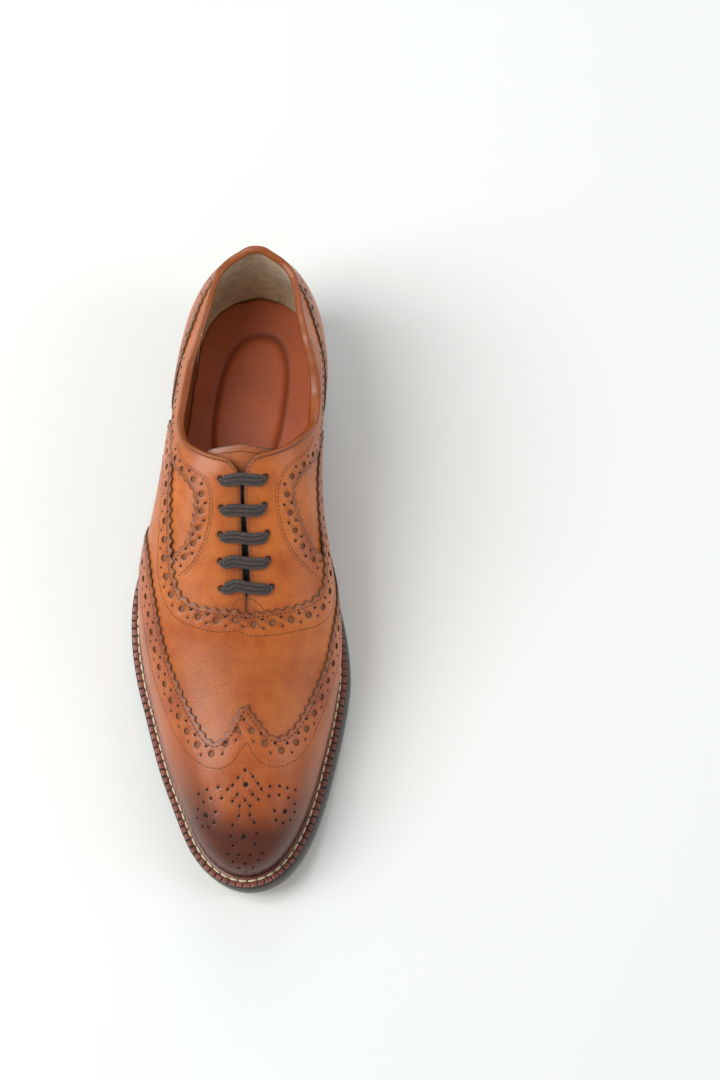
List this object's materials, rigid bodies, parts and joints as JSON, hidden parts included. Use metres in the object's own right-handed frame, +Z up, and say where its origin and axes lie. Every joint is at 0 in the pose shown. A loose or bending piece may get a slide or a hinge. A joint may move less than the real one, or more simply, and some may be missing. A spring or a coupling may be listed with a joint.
{
  "type": "leather oxford shoe",
  "caption": "Full-brogue lace-up oxford shoe for the right foot: welted leather sole with stacked heel, closed lacing over a tongue, and an open foot cavity.",
  "frame": {"origin": "on the ground under the middle of the heel seat, on the tread face of the heel top piece", "axes": "+Z up, -Y towards the toe, +X towards the medial (inner) side of the foot"},
  "size_m": [0.1072, 0.3066, 0.1029],
  "materials": {
    "wingtip_leather": "burnished, satin",
    "vamp_leather": "polished, satin",
    "quarter_leather": "polished, satin",
    "facing_leather": "polished, satin",
    "foxing_leather": "polished, satin",
    "tongue_leather": "satin",
    "lining_leather": "matt",
    "heel_grip_suede": "napped, matt",
    "sock_leather": "satin",
    "welt_leather": "waxed edge, fudged top",
    "outsole_leather": "waxed edge",
    "heel_stack_leather": "waxed edge",
    "top_piece_rubber": "matt",
    "insole_leather": "matt",
    "cork": "granular",
    "canvas": "woven, stiffened",
    "foam": "matt",
    "steel": "bright",
    "welt_thread": "waxed thread",
    "lace_cotton": "waxed braid",
    "aglet_plastic": "satin"
  },
  "bodies": {
    "rearfoot": {"heel_top_piece": "top_piece_rubber", "heel_lift_1": "heel_stack_leather", "heel_lift_2": "heel_stack_leather", "heel_lift_3": "heel_stack_leather", "heel_nails": "steel", "outsole": "outsole_leather", "welt": "welt_leather", "heel_rand": "welt_leather", "outsole_stitches": "welt_thread", "shank": "steel", "cork_filler": "cork", "insole_rib": "canvas", "insole": "insole_leather", "heel_pad": "foam", "sock_liner": "sock_leather", "vamp": "vamp_leather", "vamp_lining": "lining_leather", "quarter_lateral": "quarter_leather", "quarter_medial": "quarter_leather", "facing_lateral": "facing_leather", "facing_medial": "facing_leather", "counter_foxing": "foxing_leather", "counter_stiffener": "canvas", "quarter_lining_lateral": "lining_leather", "quarter_lining_medial": "lining_leather", "heel_lining": "heel_grip_suede", "lace": "lace_cotton", "lace_aglets": "aglet_plastic"},
    "forefoot": {"toe_puff": "canvas", "wingtip": "wingtip_leather"},
    "tongue_body": {"tongue": "tongue_leather", "tongue_lining": "lining_leather"}
  },
  "joints": [
    {"name": "ball_flex", "type": "hinge", "parent": "rearfoot", "child": "forefoot", "pos_m": [-0.008, -0.168, 0.01], "axis": [-1, 0, 0], "range_deg": [0, 25], "deforming": ["outsole", "welt", "outsole_stitches", "cork_filler", "insole_rib", "insole", "sock_liner", "wingtip", "vamp", "vamp_lining", "toe_puff"]},
    {"name": "tongue_swing", "type": "hinge", "parent": "rearfoot", "child": "tongue_body", "pos_m": [-0.0063, -0.1399, 0.0627], "axis": [-1, 0, 0], "range_deg": [0, 9]}
  ]
}
